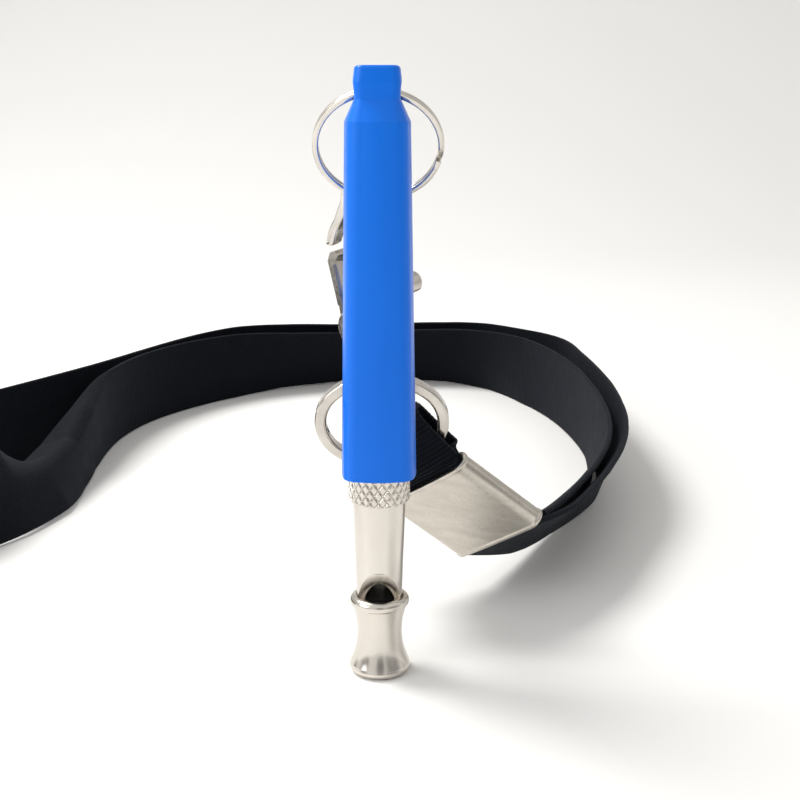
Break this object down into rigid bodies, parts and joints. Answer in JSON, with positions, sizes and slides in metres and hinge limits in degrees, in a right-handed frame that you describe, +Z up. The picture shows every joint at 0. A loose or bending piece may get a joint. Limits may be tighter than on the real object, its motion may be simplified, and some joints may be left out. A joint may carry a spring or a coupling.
{
  "type": "training whistle",
  "caption": "Adjustable training whistle under a slim blue cover, with a split ring, a swivel snap hook and a flat webbing strap crimped in a metal ferrule.",
  "frame": {"origin": "centre of the air inlet in the foot of the mouthpiece, where the whistle stands", "axes": "+Z up along the whistle to the cover's tab, -Y towards the side with the sound window, +X to the right of the window"},
  "size_m": [0.1876, 0.1937, 0.084],
  "materials": {
    "nickel_plate": "bright nickel plate on turned brass",
    "black_core": "smooth black acetal",
    "blue_shell": "smooth saturated blue with a soft sheen",
    "cast_nickel": "nickel plate on cast zinc alloy",
    "spring_steel": "drawn spring wire",
    "ferrule_sheet": "satin plate with a fine grain along the strap",
    "navy_webbing": "plain weave with fine cross ribs"
  },
  "bodies": {
    "whistle": {"mouthpiece": "nickel_plate", "whistle_tube": "nickel_plate", "knurled_collar": "nickel_plate", "fipple_plug": "black_core"},
    "piston": {"tuning_piston": "black_core"},
    "screw": {"adjusting_screw": "nickel_plate", "adjusting_knob": "nickel_plate"},
    "nut": {"lock_nut": "nickel_plate"},
    "cover": {"cover": "blue_shell"},
    "ring": {"split_ring": "nickel_plate"},
    "snap": {"snap_body": "cast_nickel", "gate_pin": "nickel_plate", "gate_spring": "spring_steel"},
    "gate": {"snap_gate": "cast_nickel"},
    "eye": {"swivel_eye": "cast_nickel", "swivel_rivet": "nickel_plate"},
    "strap": {"ferrule": "ferrule_sheet", "strap_eye_loop": "navy_webbing", "strap_near_inner": "navy_webbing", "strap_near_outer": "navy_webbing", "strap_back_inner": "navy_webbing", "strap_back_outer": "navy_webbing", "strap_front": "navy_webbing", "strap_loop_end": "navy_webbing"}
  },
  "joints": [
    {"name": "piston_slide", "type": "slide", "parent": "whistle", "child": "piston", "axis": [0, 0, 1], "range_m": [-0.003, 0.005]},
    {"name": "screw_turn", "type": "hinge", "parent": "piston", "child": "screw", "pos_m": [0, 0, 0.03], "axis": [0, 0, 1], "range_deg": [-2160, 3600]},
    {"name": "nut_turn", "type": "hinge", "parent": "whistle", "child": "nut", "pos_m": [0, 0, 0.0365], "axis": [0, 0, 1], "range_deg": [0, 720]},
    {"name": "cover_pull", "type": "slide", "parent": "whistle", "child": "cover", "axis": [0, 0, 1], "range_m": [0, 0.045]},
    {"name": "ring_swing", "type": "hinge", "parent": "cover", "child": "ring", "pos_m": [0, 0, 0.0808], "axis": [1, 0, 0], "range_deg": [0, 285]},
    {"name": "snap_swing", "type": "hinge", "parent": "ring", "child": "snap", "pos_m": [-0.0011, 0.00911, 0.06677], "axis": [1, 0, 0], "range_deg": [0, 50]},
    {"name": "gate_open", "type": "hinge", "parent": "snap", "child": "gate", "pos_m": [-0.00421, 0.01682, 0.0472], "axis": [0.7071, 0.689, 0.1591], "range_deg": [0, 22], "stiffness_Nm_per_rad": 0.0015, "springref_deg": -20.05, "deforming": ["gate_spring"]},
    {"name": "eye_swivel", "type": "hinge", "parent": "snap", "child": "eye", "pos_m": [0.00017, 0.00787, 0.06649], "axis": [0, -0.225, 0.9744], "range_deg": [-10, 150]},
    {"name": "strap_swing", "type": "hinge", "parent": "eye", "child": "strap", "pos_m": [0.00509, 0.01663, 0.02853], "axis": [0.822, -0.1281, 0.5549], "range_deg": [-10, 12]}
  ],
  "couplings": [
    {"joint": "screw_turn", "follows": "piston_slide", "rad_per_m": 12566}
  ]
}
